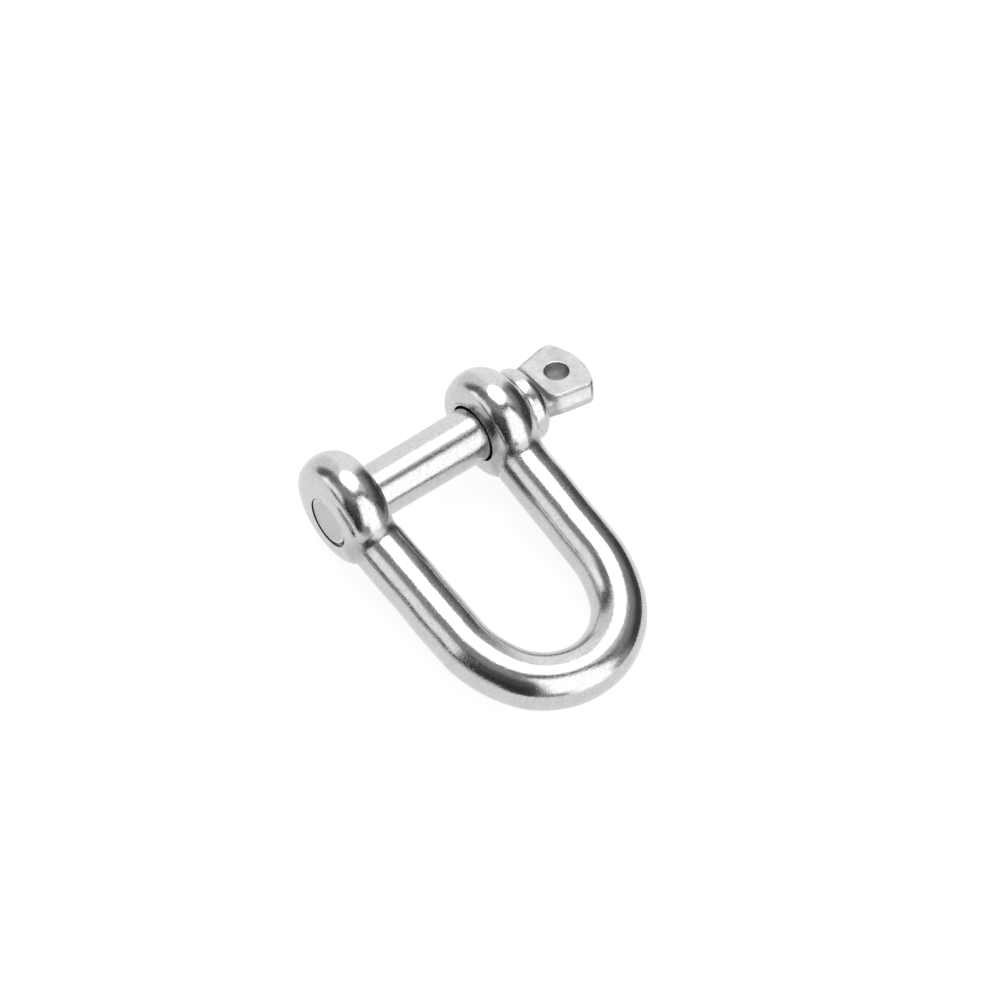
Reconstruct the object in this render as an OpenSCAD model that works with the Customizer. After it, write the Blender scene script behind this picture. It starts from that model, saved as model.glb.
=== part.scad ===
// Dee shackle with a screw pin.
// A round-bar bow ends in two thick eyes, one plain and one tapped.
// The screw pin passes through the plain eye, crosses the jaw and screws into the tapped eye.
// X runs along the pin towards its head, with the origin midway between the eyes.
// The bow's crown lies towards -Y, and the eyes and the crown rest on one flat surface below.

/* [Bow] */
// clear gap between the two eyes
jaw_w = 18.5; // [16:0.5:24]
// diameter of the round bar
bar_d = 7.7; // [6.5:0.1:8.5]
// distance from the pin's centre line to the bar's centre line at the crown
reach = 37.2; // [34:0.5:60]
// distance from the middle of the bow to each leg's centre line, and the crown's bend radius
leg_x = 12; // [11.6:0.1:13]

/* [Eyes] */
// outside diameter of each eye
eye_d = 16.4; // [15:0.1:20]
// thickness of each eye between its two flat faces
eye_t = 6.7; // [5:0.1:7.5]
// radius of the rounding around an eye's rim
rim_r = 4.35; // [4:0.05:5]
// radius of the flat spot-faced round the mouth of each bore
face_r = 6.8; // [6:0.1:7]
// diameter of the plain bore on the head's side
plain_bore_d = 8.9; // [8.8:0.1:9.6]

/* [Pin shank] */
// diameter of the shank in the jaw
shank_d = 8; // [7.6:0.1:8.2]
// diameter of the thicker shank inside the plain eye
root_d = 8.4; // [8.3:0.1:8.6]
// diameter of the plain cylinder that stands for the thread, at the thread's mean diameter
thread_d = 7.2; // [6.4:0.1:7.4]
// radial clearance between the pin's thread and the tapped bore
thread_gap = 0.05; // [0.02:0.01:0.1]
// clearance between the shank's step and the tapped eye
step_gap = 0.3; // [0.1:0.1:1]

/* [Collar and head] */
// diameter of the collar that stops against the plain eye
collar_d = 11.2; // [10:0.1:13]
// thickness of the collar
collar_t = 3.2; // [2:0.1:4]
// diameter of the neck between collar and head
neck_d = 7.4; // [6:0.1:8]
// length of the neck
neck_l = 1.7; // [1:0.1:3]
// diameter of the head across its rounded sides, at the neck
head_inner_d = 8.8; // [8:0.1:9.4]
// diameter of the head across its rounded sides, at its end
head_outer_d = 11.2; // [10:0.1:13]
// length of the head along the pin
head_l = 7.8; // [7:0.1:10]
// radius of the arc that forms the head's outer end
head_end_r = 8.4; // [7:0.1:12]
// height of the upper flat above the pin's centre line
flat_up = 2.5; // [2:0.1:3]
// depth of the lower flat below the pin's centre line
flat_down = 1.6; // [1.2:0.1:3]
// angle of the flats about the pin, from the plane of the bow
head_turn = -16.1; // [-180:0.1:180]
// diameter of the cross hole through the flats
eyelet_d = 3.8; // [3:0.1:4.5]
// distance from the head's inner end to the cross hole
eyelet_x = 3.7; // [3.2:0.1:4.2]

/* [Hidden] */
$fn = 96;
bar_r = bar_d / 2;
eye_r = eye_d / 2;
// half thickness of an eye, and the middle of each eye along the pin
eye_h = eye_t / 2;
eye_x = jaw_w / 2 + eye_h;
// outer face of each eye
eye_out = jaw_w / 2 + eye_t;
// the legs are parallel and the crown is a half circle
leg_l = reach - leg_x;
// the bow tips down about the pin until its crown touches the surface that the eyes stand on
lay = asin((eye_r - bar_r) / reach);
// places along the pin
step_x = -jaw_w / 2 + step_gap;
collar_gap = 0.05;
collar_x = eye_out + collar_gap;
neck_x = collar_x + collar_t;
head_x = neck_x + neck_l;
// how far cutting tools run past a face
past = 1;
steel_bow = [0.72, 0.72, 0.74];
steel_pin = [0.66, 0.66, 0.67];

// A cylinder of diameter d along X, from x0 to x1.
module rod(d, x0, x1) {
  translate([x0, 0, 0])
    rotate([0, 90, 0])
      cylinder(d = d, h = x1 - x0);
}

// A round disc about X with a fully rounded rim of radius rim, centred at x.
module round_disc(d, t, rim, x) {
  translate([x, 0, 0])
    rotate([0, 90, 0])
      rotate_extrude()
        intersection() {
          union() {
            translate([d / 2 - rim, 0])
              circle(r = rim);
            translate([0, -t / 2])
              square([d / 2 - rim, t]);
          }
          translate([0, -t / 2])
            square([d / 2, t]);
        }
}

// The bent bar: two legs and the half circle of the crown.
module bar() {
  for (x = [-leg_x, leg_x])
    translate([x, 0, 0])
      rotate([90, 0, 0])
        cylinder(d = bar_d, h = leg_l);
  translate([0, -leg_l, 0])
    rotate([0, 0, 180])
      rotate_extrude(angle = 180)
        translate([leg_x, 0])
          circle(d = bar_d);
}

// An eye with its bore, centred at x.
module eye(x, bore_d) {
  difference() {
    round_disc(eye_d, eye_t, rim_r, x);
    rod(bore_d, x - eye_h - past, x + eye_h + past);
  }
}

// The bow, with its tapped eye at -X and its plain eye at +X.
// The bar stops at the spot faces, so both sides of each eye stay flat round its bore.
module bow() {
  color(steel_bow)
    rotate([lay, 0, 0])
      union() {
        difference() {
          bar();
          rod(2 * face_r, -eye_out - past, eye_out + past);
        }
        eye(-eye_x, thread_d + 2 * thread_gap);
        eye(eye_x, plain_bore_d);
      }
}

// The spread and flattened end of the pin, with the cross hole through its flats.
module head() {
  difference() {
    intersection() {
      translate([head_x, 0, 0])
        rotate([0, 90, 0])
          cylinder(d1 = head_inner_d, d2 = head_outer_d, h = head_l);
      translate([head_x - past, -head_outer_d, -flat_down])
        cube([head_l + 2 * past, 2 * head_outer_d, flat_up + flat_down]);
      translate([head_x + head_l - head_end_r, 0, -flat_down])
        cylinder(r = head_end_r, h = flat_up + flat_down);
    }
    translate([head_x + eyelet_x, 0, -flat_down - past])
      cylinder(d = eyelet_d, h = flat_up + flat_down + 2 * past);
  }
}

// The screw pin in one piece: threaded end, shank, collar, neck and head.
module screw_pin() {
  color(steel_pin)
    rotate([lay, 0, 0])
      union() {
        rod(thread_d, -eye_out, step_x);
        rod(shank_d, step_x, jaw_w / 2);
        rod(root_d, jaw_w / 2, collar_x + collar_t / 2);
        round_disc(collar_d, collar_t, collar_t / 2, collar_x + collar_t / 2);
        rotate([head_turn, 0, 0]) {
          rod(neck_d, neck_x - collar_t / 2, head_x + past);
          head();
        }
      }
}

bow();
screw_pin();
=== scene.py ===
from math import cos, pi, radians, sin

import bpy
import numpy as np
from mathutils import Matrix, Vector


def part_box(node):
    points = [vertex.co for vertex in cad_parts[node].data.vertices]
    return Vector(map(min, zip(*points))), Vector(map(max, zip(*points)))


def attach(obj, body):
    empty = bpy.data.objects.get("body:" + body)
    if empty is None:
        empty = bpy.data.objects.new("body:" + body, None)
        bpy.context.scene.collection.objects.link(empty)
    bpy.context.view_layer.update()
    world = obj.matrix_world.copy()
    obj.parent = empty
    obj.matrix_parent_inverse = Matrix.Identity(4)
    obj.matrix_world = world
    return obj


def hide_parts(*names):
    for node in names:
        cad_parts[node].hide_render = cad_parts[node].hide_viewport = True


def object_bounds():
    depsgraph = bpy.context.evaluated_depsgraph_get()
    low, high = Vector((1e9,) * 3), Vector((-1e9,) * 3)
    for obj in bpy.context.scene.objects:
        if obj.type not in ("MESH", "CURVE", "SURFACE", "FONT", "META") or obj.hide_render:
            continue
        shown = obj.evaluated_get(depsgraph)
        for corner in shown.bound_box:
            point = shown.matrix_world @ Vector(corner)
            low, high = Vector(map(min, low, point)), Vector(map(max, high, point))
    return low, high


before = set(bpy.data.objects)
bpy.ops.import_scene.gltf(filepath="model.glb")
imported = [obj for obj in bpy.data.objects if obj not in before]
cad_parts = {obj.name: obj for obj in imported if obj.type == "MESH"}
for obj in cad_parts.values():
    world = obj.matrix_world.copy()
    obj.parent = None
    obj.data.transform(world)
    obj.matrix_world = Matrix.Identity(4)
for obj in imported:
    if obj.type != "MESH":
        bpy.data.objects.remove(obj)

# A dee shackle of polished stainless steel: a bow with two eyes, and a screw pin.
# The bow and the pin's collar and head are each one smooth solid, written as a distance
# function and meshed. The hole, the thread and the shank are turned shapes, cut and joined.
# Shapes are in millimetres in the bow's level frame, where the bow's plane is z = 0 and
# the pin lies along x. place() tilts them as the shackle lies, and scales them to metres.

cad_low, cad_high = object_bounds()
bow_low, bow_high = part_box("bow")
pin_low, pin_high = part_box("screw_pin")

MM = 0.001
TURN = 2 * pi
PAST = 1.0                          # how far a cutting tool runs past a face, in millimetres

# ---- sizes in millimetres ----

# bow: the bar, its centre line, and the eyes
BAR_R = 3.852
LEG_X = 12.407                      # a leg's centre line at the pin
LEAN = radians(1.398)               # each leg leans in towards the crown
LEG_L = 23.749
SHOULDER_R = 17.125
CROWN_R = 11.144
CROWN_Y = -37.3                     # the centre line's furthest point
EYE_FACE = bow_high.x / MM          # outer face of an eye
EYE_T = 6.64
EYE_X = EYE_FACE - EYE_T / 2
EYE_R = 8.201
RIM_R = 4.37                        # the eye's rim is rounded to this radius
NECK_BLEND = 0.75                   # how softly the bar runs into an eye
TAPPED_LIFT = (0.15, 0.3)           # the tapped eye was forged this far off its hole, in y and z
SPOT_R = 6.8                        # the flat faces are cut to this radius
SPOT_FILLET = 0.8                   # and meet the bar in this fillet
FACE_EDGE = 1.0                     # rounding between a face and the eye's rim
BURR_R = 4.95                       # a burr stands round part of the plain eye's inner mouth
BURR_H = 0.38
BURR_W = 0.25
BURR_MIDDLE, BURR_HALF = radians(22), radians(36)
RIDGE_R = 6.4                       # a ridge stands beside part of the tapped eye's outer face
RIDGE_RUN = 0.5                     # and runs out by this much towards the leg
RIDGE_H = 0.22
RIDGE_W = 0.36
RIDGE_MIDDLE, RIDGE_HALF = radians(135), radians(36)
PLAIN_R = 4.38                      # clear hole for the shank
LAY = radians(6.715)                # how far the bow tilts as it lies on its eyes and crown

# thread
PITCH = 1.25
ROOT_SHARE = 0.15                   # how much of the pitch is root, and how much is flanks
FLANK_SHARE = 0.65
THREAD_STEPS = 14                   # mesh rings in each turn of the thread
THREAD_R = 3.86
THREAD_DEPTH = 0.62
THREAD_GAP = 0.17                   # clearance in the tapped hole, wider on one side
GAP_SHIFT = 0.14
GAP_TURN = radians(-100)
END_RECESS = 0.12                   # the pin's end sits this far inside the eye's face
END_CHAMFER = 0.3
CREST_TURN = radians(-150)          # where the thread's crest meets the eye's outer face

# pin
PIN_END = pin_low.x / MM + END_RECESS
CUT_R = 2.9                         # the cut face at its end
SHANK_R_TAP = 3.86
SHANK_R_PLAIN = 4.1
RUNOUT = 0.6                        # the thread runs on this far past the tapped eye
SHANK_RINGS = 60
COLLAR_X = 15.98
COLLAR_T = 3.2
COLLAR_R = 5.593
COLLAR_ROUND = (1.25, 1.0)          # its corners' rounding, along and across the pin
HEAD_TURN = -0.282                  # the flats are turned this far from the bow's plane
HEAD_IN = 20.95                     # the flats begin here
HEAD_OUT = 27.089                   # corners of the rounded end
HEAD_END = 28.597                   # middle of the rounded end
HEAD_W_IN = 3.698
HEAD_W_OUT = 5.03
HEAD_SAG = 1.348                    # the sides bulge this much between the flats
SAG_REACH = 1.3                     # where the bulge ends, in half thicknesses of the head
FLAT_UP = 2.515
FLAT_DOWN = 1.395
EYELET_X = 24.553
EYELET_R = 1.84
DRILL_HALF = 6.0                    # half the length of the eyelet's drill
HEAD_ROUND = (1.5, 0.3)             # rounding of the flats' inner corners, below and above
FLAT_EDGE = 0.05                    # rounding of the flats' edges
SHADE_LINE_W = 0.13                       # a line this wide just below each flat is rougher, and darkened with painted shade
END_CORNER = 0.9                    # rounding of the corners at the head's end
HEAD_SLANT = 0.04                   # the flats' inner edge isn't quite square to the pin
HEAD_SLOPE = 1.6                    # rise over run of the inner end, from the neck up to the flats
NECK_STEP = 0.8                     # the neck is this much lower than the flats
NECK_ROUND = 0.8
NECK_RUN = 2.0                      # the neck runs on this far inside the head
NECK_FILLET = 0.3                   # where the head rises from the neck
COLLAR_FILLET = 0.15                # where the neck leaves the collar
SOFT = 0.2                          # rounding where a shape ends inside another
BREAK = (0.2, 0.1)                  # width and depth of the chamfer round the eyelet
CREASE_W = 1.0                      # how wide a strip the polishing wheel misses; it is rougher, and darkened with painted shade
MISSED_ROUGH = 0.14                 # roughness that the missed strip has more of
MISSED_LUMPS = 0.07                 # its lumps, in millimetres
PAINTED_SHADE_TONE = 0.72                  # and how much of the tone is left in it: painted shade in the creases and along the flats' edges
DENTS = 0.022                       # height of the polished surface's slow waves
WAVES = 10                          # how many of them are laid over each other
PIN_DENTS = 0.7                     # how high they are on the pin, against the bow

# meshes: the spacing of their points, and half the width of the box round the head
BOW_STEP = 0.25
HEAD_STEP = 0.13
HEAD_SPAN = 6.6

# the steel's patterns, by the size of their features
CLOUD = 2.5
MOTTLE = 0.45
GRAIN = 0.19
SPECK = 0.2
LUMP = 1.0
PATCH = 6.0                         # where the grain is stronger or weaker
PIT_CELL = 0.9                      # there is at most one pit in a cell of this size
PIT_AREA = 3.0                      # pits gather in areas of this size
PIT_DEPTH = 0.02

TABLE_R = 0.08                      # metres, and how far it lies below the CAD model's underside
TABLE_DROP = 0.00003
PAPER = 0.2                         # its tone, and the light that it adds to stay white
PAPER_GLOW = 0.88

# camera: its lens, its heading from the bow's level frame, and where the origin lies in its view
LENS = 78.45
SENSOR = 36.0
AZIMUTH = radians(52.88)
ELEVATION = radians(59.052)
ROLL = radians(-16.891)
AIM_RIGHT = -11.007
AIM_DOWN = -4.833
DISTANCE = 300.0


# ---- distance functions, on arrays of points ----

def smooth_min(a, b, k):
    """The smaller of two distances, with a fillet of about k where they meet."""
    h = np.clip(0.5 + 0.5 * (b - a) / k, 0, 1)
    return b * (1 - h) + a * h - k * h * (1 - h)


def smooth_max(a, b, k):
    return -smooth_min(-a, -b, k)


def arc_distance(x, y, centre, radius, start, end):
    """Distance in the plane to an arc whose angles run from +x towards -y."""
    dx, dy = x - centre[0], y - centre[1]
    angle = np.clip(np.arctan2(-dy, dx), start, end)
    return np.hypot(dx - radius * np.cos(angle), dy + radius * np.sin(angle))


def bow_line_distance(x, y):
    """Distance in the plane to the bow's centre line, on its x >= 0 side."""
    slope = np.array([-sin(LEAN), -cos(LEAN)])
    along = np.clip((x - LEG_X) * slope[0] + y * slope[1], 0, LEG_L)
    leg = np.hypot(x - LEG_X - along * slope[0], y - along * slope[1])
    knee = np.array([LEG_X, 0]) + LEG_L * slope
    shoulder = knee - SHOULDER_R * np.array([cos(LEAN), -sin(LEAN)])
    join = np.arccos(-shoulder[0] / (SHOULDER_R - CROWN_R))
    crown = shoulder + (SHOULDER_R - CROWN_R) * np.array([cos(join), -sin(join)])
    bend = arc_distance(x, y, shoulder, SHOULDER_R, -LEAN, join)
    tip = arc_distance(x, y, crown, CROWN_R, join, pi / 2)
    return np.minimum(leg, np.minimum(bend, tip))


def dents(p, seed):
    """Slow waves, from 4 to 10 mm long, that hand polishing leaves."""
    rng = np.random.default_rng(seed)
    height = np.zeros(len(p))
    for _ in range(WAVES):
        wave = rng.normal(size=3)
        wave *= TURN / rng.uniform(4, 10) / np.linalg.norm(wave)
        height += np.sin(p @ wave + rng.uniform(0, TURN))
    return DENTS * height / WAVES ** 0.5


def bow_parts(p):
    """Distances to the bent bar and to the rounded disc of the nearer eye, and from the eye's
    middle: out from the hole, and along it."""
    x, y, z = np.abs(p[:, 0]), p[:, 1], p[:, 2]
    tapped = p[:, 0] < 0
    bar = np.hypot(bow_line_distance(x, y), z) - BAR_R
    out = np.hypot(y - TAPPED_LIFT[0] * tapped, z - TAPPED_LIFT[1] * tapped)
    across = np.abs(x - EYE_X)
    eye = np.hypot(across, np.maximum(out - (EYE_R - RIM_R), 0)) - RIM_R
    return bar, eye, out, across


def bow_field(p):
    bar, eye, out, across = bow_parts(p)
    body = smooth_min(bar, eye, NECK_BLEND) + dents(p, 3)
    spot = smooth_max(EYE_T / 2 - across, out - SPOT_R, SPOT_FILLET)
    return smooth_max(body, -spot, FACE_EDGE) - burr(p) - ridge(p)


def burr(p):
    """Height of the burr on the inner face of the plain eye."""
    ring = np.exp(-((np.hypot(p[:, 1], p[:, 2]) - BURR_R) / BURR_W) ** 2)
    turn = (np.arctan2(p[:, 2], p[:, 1]) - BURR_MIDDLE) / BURR_HALF
    inner_face = np.clip((EYE_X - p[:, 0]) / EYE_T * 4, 0, 1) * (p[:, 0] > 0)
    return BURR_H * ring * np.clip(1 - turn ** 2, 0, 1) * inner_face


def beside_face(p, off):
    """1 along a line off millimetres outside the ridge's crest, falling to 0 beside it."""
    turn = (np.arctan2(p[:, 2], p[:, 1]) - RIDGE_MIDDLE) / RIDGE_HALF
    away = np.hypot(p[:, 1], p[:, 2]) - RIDGE_R - RIDGE_RUN * turn - off
    outer_face = p[:, 0] < -EYE_X - EYE_T / 4
    return np.exp(-(away / RIDGE_W) ** 2) * np.clip(1 - turn ** 4, 0, 1) * outer_face


def ridge(p):
    """Height of the ridge beside the outer face of the tapped eye."""
    return RIDGE_H * beside_face(p, 0)


def head_axes(p):
    """Along the pin, across the flats' plane, and out of the flats."""
    c, s = cos(HEAD_TURN), sin(HEAD_TURN)
    return p[:, 0], p[:, 1] * c + p[:, 2] * s, p[:, 2] * c - p[:, 1] * s


def head_field(p):
    x, v, t = head_axes(p)
    along = (x - HEAD_IN) / (HEAD_OUT - HEAD_IN)
    width = HEAD_W_IN + (HEAD_W_OUT - HEAD_W_IN) * along
    middle, half = (FLAT_UP - FLAT_DOWN) / 2, (FLAT_UP + FLAT_DOWN) / 2
    off = t - middle
    side = np.abs(v) - width - HEAD_SAG * (1 - np.clip(off / half, -SAG_REACH, SAG_REACH) ** 2)
    end = x - (HEAD_END - (HEAD_END - HEAD_OUT) * (v / HEAD_W_OUT) ** 2)
    inner = HEAD_IN + HEAD_SLANT * v - x - (half - np.abs(off)) / HEAD_SLOPE
    plate = smooth_max(side, inner, np.where(v < 0, *HEAD_ROUND))
    block = smooth_max(smooth_max(plate, end, END_CORNER), np.abs(off) - half, FLAT_EDGE)
    neck = smooth_max(side, np.abs(off) - half + NECK_STEP, NECK_ROUND)
    neck = smooth_max(neck, x - HEAD_IN - NECK_RUN, SOFT)
    block = smooth_max(smooth_min(block, neck, NECK_FILLET), COLLAR_X + COLLAR_T / 2 - x, SOFT)
    out = np.hypot(p[:, 1], p[:, 2])
    along_rim, across_rim = COLLAR_ROUND
    corner_x = np.maximum(np.abs(x - COLLAR_X - COLLAR_T / 2) - COLLAR_T / 2 + along_rim, 0)
    corner_r = np.maximum(out - COLLAR_R + across_rim, 0)
    collar = (np.hypot(corner_x / along_rim, corner_r / across_rim) - 1) * across_rim
    return smooth_min(block, collar, COLLAR_FILLET) + dents(p, 5) * PIN_DENTS


# ---- meshing ----

def gradient(field, p, h=1e-3):
    return np.stack([field(p + h * e) - field(p - h * e) for e in np.eye(3)], 1) / (2 * h)


def settle(field, p, passes=3):
    """Moves points onto the surface where the field is zero."""
    for _ in range(passes):
        g = gradient(field, p)
        p = p - g * (field(p) / (g * g).sum(1))[:, None]
    return p


def even_out(p, faces, field, passes):
    """Slides points along the surface to even the quads out."""
    pairs = np.vstack([faces[:, [i, (i + 1) % 4]] for i in range(4)])
    count = np.bincount(pairs[:, 0], minlength=len(p))[:, None]
    for _ in range(passes):
        total = np.stack([np.bincount(pairs[:, 0], p[pairs[:, 1], i], len(p)) for i in range(3)], 1)
        p = settle(field, 0.5 * p + 0.5 * total / count, 1)
    return settle(field, p, 2)


def mesh_field(field, low, high, step, passes=6):
    """Quads over the surface where the field is zero, about one step apart."""
    axes = [np.arange(a - 2 * step, b + 3 * step, step) for a, b in zip(low, high)]
    grid = np.stack(np.meshgrid(*axes, indexing="ij"), -1)
    inside = (field(grid.reshape(-1, 3)) < 0).reshape(grid.shape[:3])
    corners = sum(inside[i:i + inside.shape[0] - 1, j:j + inside.shape[1] - 1,
                         k:k + inside.shape[2] - 1].astype(np.int8)
                  for i in (0, 1) for j in (0, 1) for k in (0, 1))
    crossed = (corners > 0) & (corners < 8)
    number = np.full(crossed.shape, -1)
    number[crossed] = np.arange(crossed.sum())
    points = np.argwhere(crossed) * step + [a[0] + step / 2 for a in axes]
    faces = []
    for a in range(3):
        near = inside.take(range(inside.shape[a] - 1), a)
        far = inside.take(range(1, inside.shape[a]), a)
        start = np.argwhere(near != far)
        b, c = np.eye(3, dtype=int)[[(a + 1) % 3, (a + 2) % 3]]
        ring = np.stack([number[tuple((start - d).T)] for d in (b + c, c, 0 * b, b)], 1)
        outward = near[tuple(start.T)]
        faces.append(np.where(outward[:, None], ring, ring[:, ::-1]))
    faces = np.vstack(faces)
    points = settle(field, points)
    return even_out(points, faces, field, passes), faces.tolist()


def make_mesh(name, points, faces):
    mesh = bpy.data.meshes.new(name)
    mesh.from_pydata(np.asarray(points).tolist(), [], faces)
    mesh.update()
    obj = bpy.data.objects.new(name, mesh)
    bpy.context.scene.collection.objects.link(obj)
    return obj


def turned(name, stations, radius, sides=128):
    """A closed solid round the x axis, with radius(x, angle) at each station and flat ends."""
    angles = np.arange(sides) * TURN / sides

    def ring(x, r):
        return np.stack([np.full(sides, x), r * np.cos(angles), r * np.sin(angles)], 1)

    first, last = stations[0], stations[-1]
    inset = [0.33, 0.66, 0.9]
    rings = [ring(first, radius(first, angles) * k) for k in inset]
    rings += [ring(x, radius(x, angles)) for x in stations]
    rings += [ring(last, radius(last, angles) * k) for k in inset[::-1]]
    points = np.vstack(rings + [[[first, 0, 0], [last, 0, 0]]])
    start = np.arange(sides)
    after = (start + 1) % sides
    faces = []
    for i in range(len(rings) - 1):
        quads = np.stack([start, after, after + sides, start + sides], 1) + i * sides
        faces += quads.tolist()
    centre = len(rings) * sides
    faces += [[centre, k, j] for j, k in zip(start, after)]
    tail = centre - sides
    faces += [[centre + 1, tail + j, tail + k] for j, k in zip(start, after)]
    return make_mesh(name, points, faces)


def combine(target, tool, operation):
    """An exact boolean of two closed meshes, applied to target. The tool is removed."""
    change = target.modifiers.new("change", "BOOLEAN")
    change.operation = operation
    change.solver = "EXACT"
    change.object = tool
    result = bpy.data.meshes.new_from_object(
        target.evaluated_get(bpy.context.evaluated_depsgraph_get()))
    target.modifiers.clear()
    old = target.data
    target.data = result
    bpy.data.meshes.remove(old)
    bpy.data.objects.remove(tool)
    return target


def smooth_by(obj, field):
    """Smooth shading that breaks at sharp edges, with the field's own normals on its surface."""
    mesh = obj.data
    mesh.polygons.foreach_set("use_smooth", np.ones(len(mesh.polygons), bool))
    mesh.set_sharp_from_angle(angle=radians(35))
    count = len(mesh.loops)
    normals = np.zeros(count * 3, np.float32)
    mesh.corner_normals.foreach_get("vector", normals)
    normals = normals.reshape(-1, 3)
    corner = np.zeros(count, np.int32)
    mesh.loops.foreach_get("vertex_index", corner)
    points = np.zeros(len(mesh.vertices) * 3, np.float32)
    mesh.vertices.foreach_get("co", points)
    points = points.reshape(-1, 3).astype(float)
    exact = gradient(field, points)
    exact /= np.linalg.norm(exact, axis=1, keepdims=True)
    on = np.abs(field(points)) < 2e-3
    use = on[corner] & ((exact[corner] * normals).sum(1) > 0.9)
    normals[use] = exact[corner][use]
    mesh.normals_split_custom_set(normals.tolist())


def mark(obj, name, amount):
    """Stores amount(points), from 0 to 1, on the mesh for its material to use."""
    points = np.zeros(len(obj.data.vertices) * 3, np.float32)
    obj.data.vertices.foreach_get("co", points)
    stored = obj.data.attributes.new(name, "FLOAT", "POINT")
    stored.data.foreach_set("value", amount(points.reshape(-1, 3).astype(float)).astype(np.float32))


def place(obj):
    """Tilts a piece as the shackle lies, and scales it to metres."""
    obj.data.transform(Matrix.Rotation(LAY, 4, "X") @ Matrix.Scale(MM, 4))
    return obj


# ---- pieces ----

def thread_radius(x, angle, extra):
    """A right-hand thread with flat crests and roots."""
    phase = ((x - PIN_END) / PITCH - (angle - CREST_TURN) / TURN) % 1.0
    flank = np.clip((np.abs(2 * phase - 1) - ROOT_SHARE) / FLANK_SHARE, 0, 1)
    return THREAD_R - THREAD_DEPTH + THREAD_DEPTH * flank + extra


def bow_unpolished_and_shade(p):
    """Painted shade, with rougher and lumpier steel: 1 in the crease where the bar meets an eye and
    at the ridge's inner foot, 0 beside them.
    """
    bar, eye, _, _ = bow_parts(p)
    crease = np.clip(1.3 - np.abs(bar - eye) / CREASE_W, 0, 1)
    return np.maximum(crease, beside_face(p, -RIDGE_W))


def collar_crease(p):
    """1 between the collar and the head's inner end, falling to 0 beyond: painted shade there, with
    rougher and lumpier steel.
    """
    middle = (COLLAR_X + COLLAR_T + HEAD_IN) / 2
    return np.clip(1.5 - np.abs(p[:, 0] - middle) / CREASE_W, 0, 1)


def pin_unpolished_and_shade(p):
    """Painted shade, with rougher and lumpier steel, in the collar's crease and along the line that
    runs round the head just inside each flat.
    """
    _, _, t = head_axes(p)
    half = (FLAT_UP + FLAT_DOWN) / 2
    inset = half - np.abs(t - FLAT_UP + half)
    line = np.exp(-((inset - 2 * SHADE_LINE_W) / SHADE_LINE_W) ** 2)
    return np.maximum(collar_crease(p), line * (p[:, 0] > HEAD_IN))


def make_bow():
    low = [-EYE_FACE - 0.5, CROWN_Y - BAR_R, -EYE_R]
    high = [EYE_FACE + 0.5, EYE_R, EYE_R]
    points, faces = mesh_field(bow_field, low, high, BOW_STEP)
    bow = make_mesh("bow_forged", points, faces)
    stations = np.arange(-EYE_FACE - PAST, -EYE_FACE + EYE_T + PAST, PITCH / THREAD_STEPS)

    def tapped_radius(x, a):
        return thread_radius(x, a, THREAD_GAP + GAP_SHIFT * np.cos(a - GAP_TURN))

    tapped = turned("tapped_hole", stations, tapped_radius)
    combine(bow, tapped, "DIFFERENCE")
    ends = [EYE_FACE - EYE_T - PAST, EYE_FACE + PAST]
    plain = turned("plain_hole", ends, lambda x, a: np.full(len(a), PLAIN_R))
    combine(bow, plain, "DIFFERENCE")
    smooth_by(bow, bow_field)
    mark(bow, "unpolished_and_painted_shade", bow_unpolished_and_shade)
    return place(bow)


def make_pin():
    low = [COLLAR_X - 0.2, -HEAD_SPAN, -HEAD_SPAN]
    high = [HEAD_END + 0.2, HEAD_SPAN, HEAD_SPAN]
    points, faces = mesh_field(head_field, low, high, HEAD_STEP)
    pin = make_mesh("screw_pin_forged", points, faces)
    shoulder = -EYE_FACE + EYE_T + RUNOUT
    threads = np.arange(PIN_END, shoulder, PITCH / THREAD_STEPS)
    stations = list(threads) + list(np.linspace(shoulder + 0.05, COLLAR_X + 1.0, SHANK_RINGS))

    def radius(x, a):
        if x < shoulder:
            chamfer = THREAD_R - END_CHAMFER + x - PIN_END
            return np.minimum(thread_radius(x, a, 0), chamfer)
        along = (x - shoulder) / (COLLAR_X - shoulder)
        return np.full(len(a), SHANK_R_TAP + (SHANK_R_PLAIN - SHANK_R_TAP) * along)

    shank = turned("shank", stations, radius)
    combine(pin, shank, "UNION")
    wide, deep = BREAK
    stations = [-DRILL_HALF, -FLAT_DOWN - deep, deep - FLAT_DOWN,
                FLAT_UP - deep, FLAT_UP + deep, DRILL_HALF]

    def eyelet_radius(x, a):
        broken = x > FLAT_UP or x < -FLAT_DOWN
        return np.full(len(a), EYELET_R + 2 * wide * broken)

    eyelet = turned("eyelet", stations, eyelet_radius, 64)
    turn = Matrix.Rotation(HEAD_TURN, 4, "X") @ Matrix.Rotation(-pi / 2, 4, "Y")
    eyelet.data.transform(Matrix.Translation((EYELET_X, 0, 0)) @ turn)
    combine(pin, eyelet, "DIFFERENCE")
    smooth_by(pin, head_field)
    mark(pin, "unpolished_and_painted_shade", pin_unpolished_and_shade)
    return place(pin)


# ---- materials ----

def math_node(tree, operation, *values):
    """A math node's output. Each value is a number or another node's output."""
    made = tree.nodes.new("ShaderNodeMath")
    made.operation = operation
    for i, value in enumerate(values):
        if isinstance(value, bpy.types.NodeSocket):
            tree.links.new(value, made.inputs[i])
        else:
            made.inputs[i].default_value = value
    return made.outputs[0]


def noise(tree, where, size, detail):
    """Noise with features about size millimetres across, from 0 to 1."""
    made = tree.nodes.new("ShaderNodeTexNoise")
    tree.links.new(where, made.inputs["Vector"])
    made.inputs["Scale"].default_value = 1 / (size * MM)
    made.inputs["Detail"].default_value = detail
    return made.outputs["Fac"]


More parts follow.
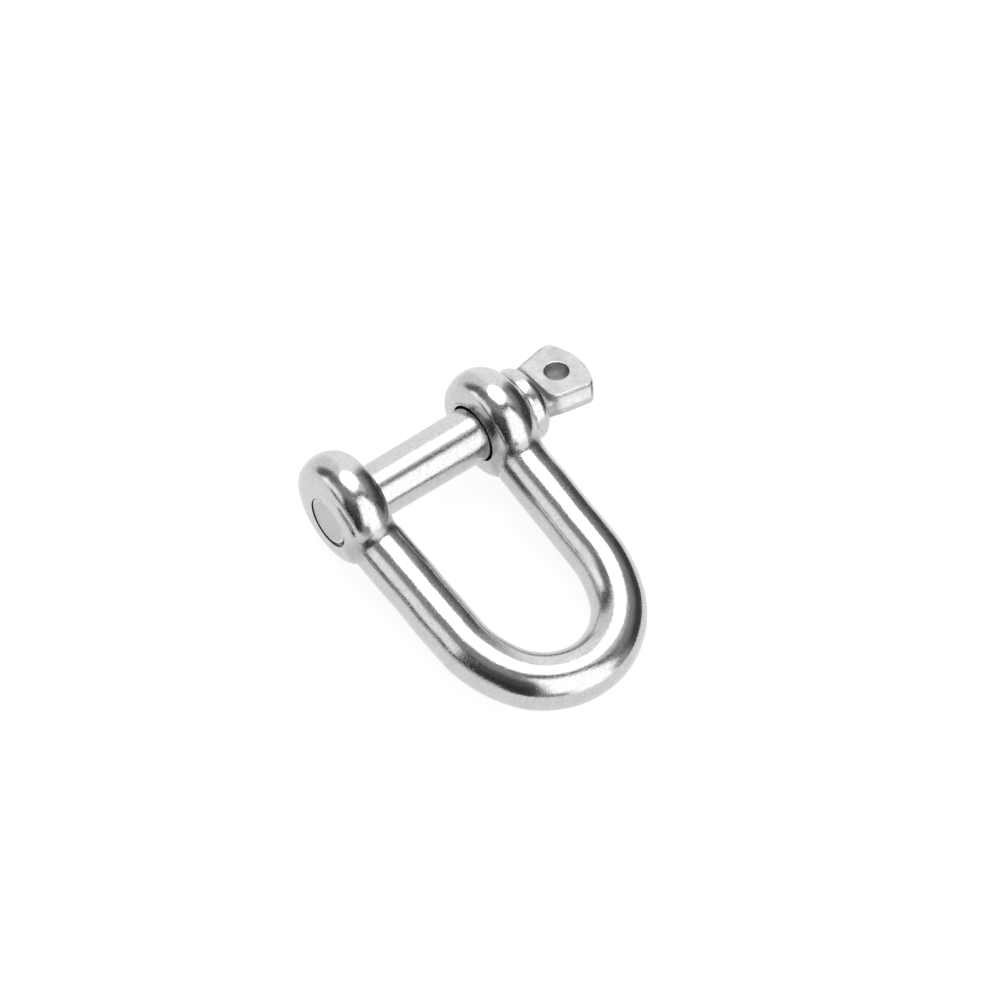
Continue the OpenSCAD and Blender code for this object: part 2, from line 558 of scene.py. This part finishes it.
def spread(tree, value, low, high, start=0.0, end=1.0):
    """Maps start to low and end to high, and holds there outside them."""
    made = tree.nodes.new("ShaderNodeMapRange")
    tree.links.new(value, made.inputs["Value"])
    made.inputs["From Min"].default_value = start
    made.inputs["From Max"].default_value = end
    made.inputs["To Min"].default_value = low
    made.inputs["To Max"].default_value = high
    return made.outputs["Result"]


def steel(name, tone, rough, grain, lumps, pits, specks):
    """Bare steel. tone and rough are (low, high); grain and lumps are heights in millimetres of
    the fine and the coarse texture, pits is the share of the surface that is pitted, and specks
    is the roughness added in frosted specks."""
    material = bpy.data.materials.new(name)
    material.use_nodes = True
    tree = material.node_tree
    shader = tree.nodes["Principled BSDF"]
    shader.inputs["Metallic"].default_value = 1.0
    where = tree.nodes.new("ShaderNodeTexCoord").outputs["Object"]
    cloud = noise(tree, where, CLOUD, 4.0)
    mottle = noise(tree, where, MOTTLE, 3.0)
    fine = noise(tree, where, GRAIN, 2.0)
    patchy = spread(tree, noise(tree, where, PATCH, 2.0), 0.6, 1.0, 0.35, 0.65)
    # the unpolished strips: rougher and lumpier, and darkened as painted shade
    unpolished_and_shade = tree.nodes.new("ShaderNodeAttribute")
    unpolished_and_shade.attribute_name = "unpolished_and_painted_shade"
    unpolished_and_shade = unpolished_and_shade.outputs["Fac"]

    shade = spread(tree, cloud, tone[0], tone[1], 0.3, 0.7)
    shade = math_node(tree, "MULTIPLY", shade, spread(tree, mottle, 0.92, 1.06, 0.3, 0.7))
    cells = tree.nodes.new("ShaderNodeTexVoronoi")
    tree.links.new(where, cells.inputs["Vector"])
    cells.inputs["Scale"].default_value = 1 / (PIT_CELL * MM)
    rare = spread(tree, noise(tree, where, PIT_AREA, 1.0), 0.0, pits, 0.55, 0.75)
    pit = math_node(tree, "GREATER_THAN", cells.outputs["Distance"], rare)
    shade = math_node(tree, "MULTIPLY", shade, spread(tree, pit, 0.45, 1.0))
    # painted shade: darker in the creases and along the line below each flat
    shade = math_node(tree, "MULTIPLY", shade, spread(tree, unpolished_and_shade, 1.0, PAINTED_SHADE_TONE))
    colour = tree.nodes.new("ShaderNodeCombineColor")
    for channel in ("Red", "Green", "Blue"):
        tree.links.new(shade, colour.inputs[channel])
    tree.links.new(colour.outputs["Color"], shader.inputs["Base Color"])

    speck = spread(tree, noise(tree, where, SPECK, 1.0), 0.0, specks, 0.5, 0.72)
    even = spread(tree, cloud, rough[0], rough[1], 0.3, 0.7)
    even = math_node(tree, "ADD", even, math_node(tree, "MULTIPLY", speck, patchy))
    even = math_node(tree, "ADD", even, math_node(tree, "MULTIPLY", unpolished_and_shade, MISSED_ROUGH))
    tree.links.new(even, shader.inputs["Roughness"])

    fine = math_node(tree, "MULTIPLY", fine, math_node(tree, "MULTIPLY", patchy, grain * MM))
    missed_lumps = math_node(tree, "MULTIPLY", unpolished_and_shade, MISSED_LUMPS * MM)
    lump_height = math_node(tree, "ADD", missed_lumps, lumps * MM)
    coarse = math_node(tree, "MULTIPLY", noise(tree, where, LUMP, 2.0), lump_height)
    height = math_node(tree, "ADD", math_node(tree, "ADD", fine, coarse),
                       math_node(tree, "MULTIPLY", pit, PIT_DEPTH * MM))
    bump = tree.nodes.new("ShaderNodeBump")
    bump.inputs["Distance"].default_value = 1.0
    tree.links.new(height, bump.inputs["Height"])
    tree.links.new(bump.outputs["Normal"], shader.inputs["Normal"])
    return material


def paint(obj, material, chosen):
    """Gives a material to the faces for which chosen(centres, normals), in millimetres, is true."""
    mesh = obj.data
    mesh.materials.append(material)
    count = len(mesh.polygons)
    centres, normals = np.zeros(count * 3, np.float32), np.zeros(count * 3, np.float32)
    mesh.polygons.foreach_get("center", centres)
    mesh.polygons.foreach_get("normal", normals)
    level = np.array(Matrix.Rotation(-LAY, 3, "X"))
    centres = centres.reshape(-1, 3) @ level.T / MM
    normals = normals.reshape(-1, 3) @ level.T
    index = np.zeros(count, np.int32)
    mesh.polygons.foreach_get("material_index", index)
    index[chosen(centres, normals)] = len(mesh.materials) - 1
    mesh.polygons.foreach_set("material_index", index)
    mesh.update()


# ---- studio ----

def make_floor():
    """A round pale table. It ends near enough for the steel to show the dark room below it."""
    sides = 128
    angles = np.arange(sides) * TURN / sides
    middle = (cad_low + cad_high) / 2
    z = cad_low.z - TABLE_DROP
    rim = [(middle.x + TABLE_R * cos(a), middle.y + TABLE_R * sin(a), z) for a in angles]
    floor = make_mesh("floor", rim, [list(range(sides))])
    material = bpy.data.materials.new("floor_paper")
    material.use_nodes = True
    shader = material.node_tree.nodes["Principled BSDF"]
    shader.inputs["Base Color"].default_value = (PAPER, PAPER, PAPER, 1)
    shader.inputs["Emission Color"].default_value = (1, 1, 1, 1)
    shader.inputs["Emission Strength"].default_value = PAPER_GLOW
    shader.inputs["Roughness"].default_value = 1.0
    shader.inputs["Specular IOR Level"].default_value = 0.0
    floor.data.materials.append(material)


def fade(tree, value, edge, soft):
    """1 below the edge and 0 above it, with a soft step of that width."""
    ramp = tree.nodes.new("ShaderNodeMapRange")
    ramp.interpolation_type = "SMOOTHSTEP"
    tree.links.new(value, ramp.inputs["Value"])
    ramp.inputs["From Min"].default_value = edge + soft / 2
    ramp.inputs["From Max"].default_value = edge - soft / 2
    return ramp.outputs["Result"]


def wall_panel(tree, azimuth, zenith, facing, half, top, bottom, soft, side_soft):
    """Mask of a panel that stands round the set: facing and half are its middle and half width
    in degrees round from +X, and top and bottom are angles down from overhead."""
    turn = math_node(tree, "SUBTRACT", azimuth, radians(facing))
    turn = math_node(tree, "ARCCOSINE", math_node(tree, "COSINE", turn))
    sides = fade(tree, turn, radians(half), radians(side_soft))
    above = fade(tree, zenith, radians(bottom), radians(soft))
    below = math_node(tree, "SUBTRACT", 1.0, fade(tree, zenith, radians(top), radians(soft)))
    return math_node(tree, "MULTIPLY", sides, math_node(tree, "MULTIPLY", above, below))


def ceiling_panel(tree, direction, centre, half, turn, soft):
    """Mask of a rounded rectangle overhead, on a ceiling one unit up."""
    axes = tree.nodes.new("ShaderNodeSeparateXYZ")
    tree.links.new(direction, axes.inputs[0])
    up = math_node(tree, "MAXIMUM", axes.outputs["Z"], 0.05)
    x = math_node(tree, "SUBTRACT", math_node(tree, "DIVIDE", axes.outputs["X"], up), centre[0])
    y = math_node(tree, "SUBTRACT", math_node(tree, "DIVIDE", axes.outputs["Y"], up), centre[1])
    reach = []
    for along, angle in ((half[0], turn), (half[1], turn + 90)):
        u = math_node(tree, "ADD", math_node(tree, "MULTIPLY", x, cos(radians(angle)) / along),
                      math_node(tree, "MULTIPLY", y, sin(radians(angle)) / along))
        reach.append(math_node(tree, "POWER", math_node(tree, "ABSOLUTE", u), 3.0))
    out = math_node(tree, "POWER", math_node(tree, "ADD", *reach), 1 / 3)
    return fade(tree, out, 1.0, soft)


def layer(tree, below, mask, level):
    """The light below, with a panel of this brightness laid over it where its mask is 1."""
    mix = tree.nodes.new("ShaderNodeMix")
    mix.data_type = "FLOAT"
    tree.links.new(mask, mix.inputs[0])
    if isinstance(below, float):
        mix.inputs[2].default_value = below
    else:
        tree.links.new(below, mix.inputs[2])
    mix.inputs[3].default_value = level
    return mix.outputs[0]


# facing, half width, top, bottom, softness, side softness, brightness
WALLS = [
    (43, 28, 40, 180, 14, 14, 1.12),      # pale wall behind the head
    (160, 28, 48, 88, 10, 14, 1.15),      # pale wall on the left
    (-22, 48, 36, 180, 20, 14, 0.3),      # dark side of the room, beyond the head
    (-10, 30, 60, 180, 24, 20, 0.06),     # its darkest part, low down
    (176, 66, 12, 44, 10, 16, 0.32),      # shade round the overhead light
    (-80, 40, 12, 27, 8, 16, 0.13),       # and between it and the tall softbox
    (114, 13, 40, 84, 16, 14, 0.14),      # a gap between the pale walls
    (132, 14, 30, 54, 10, 12, 0.2),       # and its upper end
    (214, 32, 38, 180, 14, 10, 0.09),     # dark behind the camera
    (208, 26, 62, 180, 18, 16, 0.035),    # and darkest low down
    (137, 8, 60, 74, 8, 8, 1.5),          # a pale spot on the left wall
    (185, 28, 80, 180, 5, 12, 0.07),      # skirting along the left wall
    (186, 22, 89, 95, 2, 8, 0.85),        # pale edge at the horizon
    (-81, 30, 25, 180, 6, 9, 1.65),       # tall white softbox
    (-108, 12, 82, 180, 4, 8, 0.35),      # its stand's dark foot
    (-50, 8, 74, 180, 10, 8, 0.4),        # and the other one
    (-44, 9, 22, 44, 8, 8, 0.12),         # shade beside the softbox
]

# centre, half width and depth, turn in degrees and softness, on a ceiling one unit up
CEILING = ((0.19, 0.25), (0.43, 0.37), 24, 0.25)
CEILING_LEVEL = 3.0
ROOM_LEVEL = 0.9
STRENGTH = 1.1                      # of the whole studio


def make_studio():
    world = bpy.data.worlds.new("studio")
    bpy.context.scene.world = world
    world.use_nodes = True
    tree = world.node_tree
    direction = tree.nodes.new("ShaderNodeTexCoord").outputs["Generated"]
    axes = tree.nodes.new("ShaderNodeSeparateXYZ")
    tree.links.new(direction, axes.inputs[0])
    azimuth = math_node(tree, "ARCTAN2", axes.outputs["Y"], axes.outputs["X"])
    zenith = math_node(tree, "ARCCOSINE", axes.outputs["Z"])
    light = ROOM_LEVEL
    for facing, half, top, bottom, soft, side_soft, level in WALLS:
        mask = wall_panel(tree, azimuth, zenith, facing, half, top, bottom, soft, side_soft)
        light = layer(tree, light, mask, level)
    overhead = ceiling_panel(tree, direction, *CEILING)
    light = layer(tree, light, overhead, CEILING_LEVEL)
    background = tree.nodes["Background"]
    tree.links.new(light, background.inputs["Color"])
    background.inputs["Strength"].default_value = STRENGTH
    plain = tree.nodes.new("ShaderNodeBackground")
    plain.inputs["Color"].default_value = (1.0, 1.0, 1.0, 1)
    path = tree.nodes.new("ShaderNodeLightPath")
    mix = tree.nodes.new("ShaderNodeMixShader")
    tree.links.new(path.outputs["Is Camera Ray"], mix.inputs["Fac"])
    tree.links.new(background.outputs["Background"], mix.inputs[1])
    tree.links.new(plain.outputs["Background"], mix.inputs[2])
    tree.links.new(mix.outputs["Shader"], tree.nodes["World Output"].inputs["Surface"])
    bpy.context.scene.view_settings.view_transform = "Standard"


def make_camera():
    """The view from above the tapped eye's side, from the bow's level frame."""
    flat = cos(ELEVATION)
    forward = Vector((sin(AZIMUTH) * flat, cos(AZIMUTH) * flat, -sin(ELEVATION)))
    level = Vector((cos(AZIMUTH), -sin(AZIMUTH), 0))
    down = forward.cross(level)
    right = cos(ROLL) * level + sin(ROLL) * down
    down = -sin(ROLL) * level + cos(ROLL) * down
    where = -(AIM_RIGHT * right + AIM_DOWN * down + DISTANCE * forward) * MM
    turn = Matrix((right, -down, -forward)).transposed().to_4x4()
    data = bpy.data.cameras.new("camera")
    data.sensor_width = SENSOR
    data.lens = LENS
    data.clip_start = 0.01
    data.clip_end = 10.0
    camera = bpy.data.objects.new("camera", data)
    bpy.context.scene.collection.objects.link(camera)
    camera.matrix_world = Matrix.Rotation(LAY, 4, "X") @ Matrix.Translation(where) @ turn
    bpy.context.scene.camera = camera


make_camera()
make_studio()
make_floor()

bow = make_bow()
paint(bow, steel("steel_polished", (0.535, 0.58), (0.07, 0.13), 0.015, 0.002, 0.12, 0.25),
      lambda c, n: np.full(len(c), True))
# the bores' walls are rougher, and painted dark as shade inside the holes
paint(bow, steel("steel_bored_painted_shade", (0.18, 0.32), (0.3, 0.45), 0.01, 0.01, 0.05, 0.1),
      lambda c, n: (np.hypot(c[:, 1], c[:, 2]) < PLAIN_R + 0.05) & (np.abs(n[:, 0]) < 0.9))
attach(bow, "bow")
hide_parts("bow")

pin = make_pin()
paint(pin, steel("steel_turned", (0.535, 0.58), (0.09, 0.15), 0.015, 0.002, 0.12, 0.25),
      lambda c, n: np.full(len(c), True))
paint(pin, steel("steel_cut", (0.45, 0.53), (0.25, 0.4), 0.015, 0.01, 0.05, 0.15),
      lambda c, n: (c[:, 0] < PIN_END + 0.02) & (np.hypot(c[:, 1], c[:, 2]) < CUT_R))
paint(pin, steel("steel_forged", (0.47, 0.6), (0.26, 0.36), 0.03, 0.05, 0.16, 0.15),
      lambda c, n: c[:, 0] > COLLAR_X + COLLAR_T - 0.1)
# the eyelet's wall is rougher, and painted dark as shade inside the hole
paint(pin, steel("steel_drilled_painted_shade", (0.14, 0.5), (0.3, 0.45), 0.02, 0.12, 0.3, 0.1),
      lambda c, n: (np.hypot(c[:, 0] - EYELET_X, head_axes(c)[1]) < EYELET_R + 0.05)
      & (np.abs(head_axes(n)[2]) < 0.3))
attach(pin, "pin")
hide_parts("screw_pin")
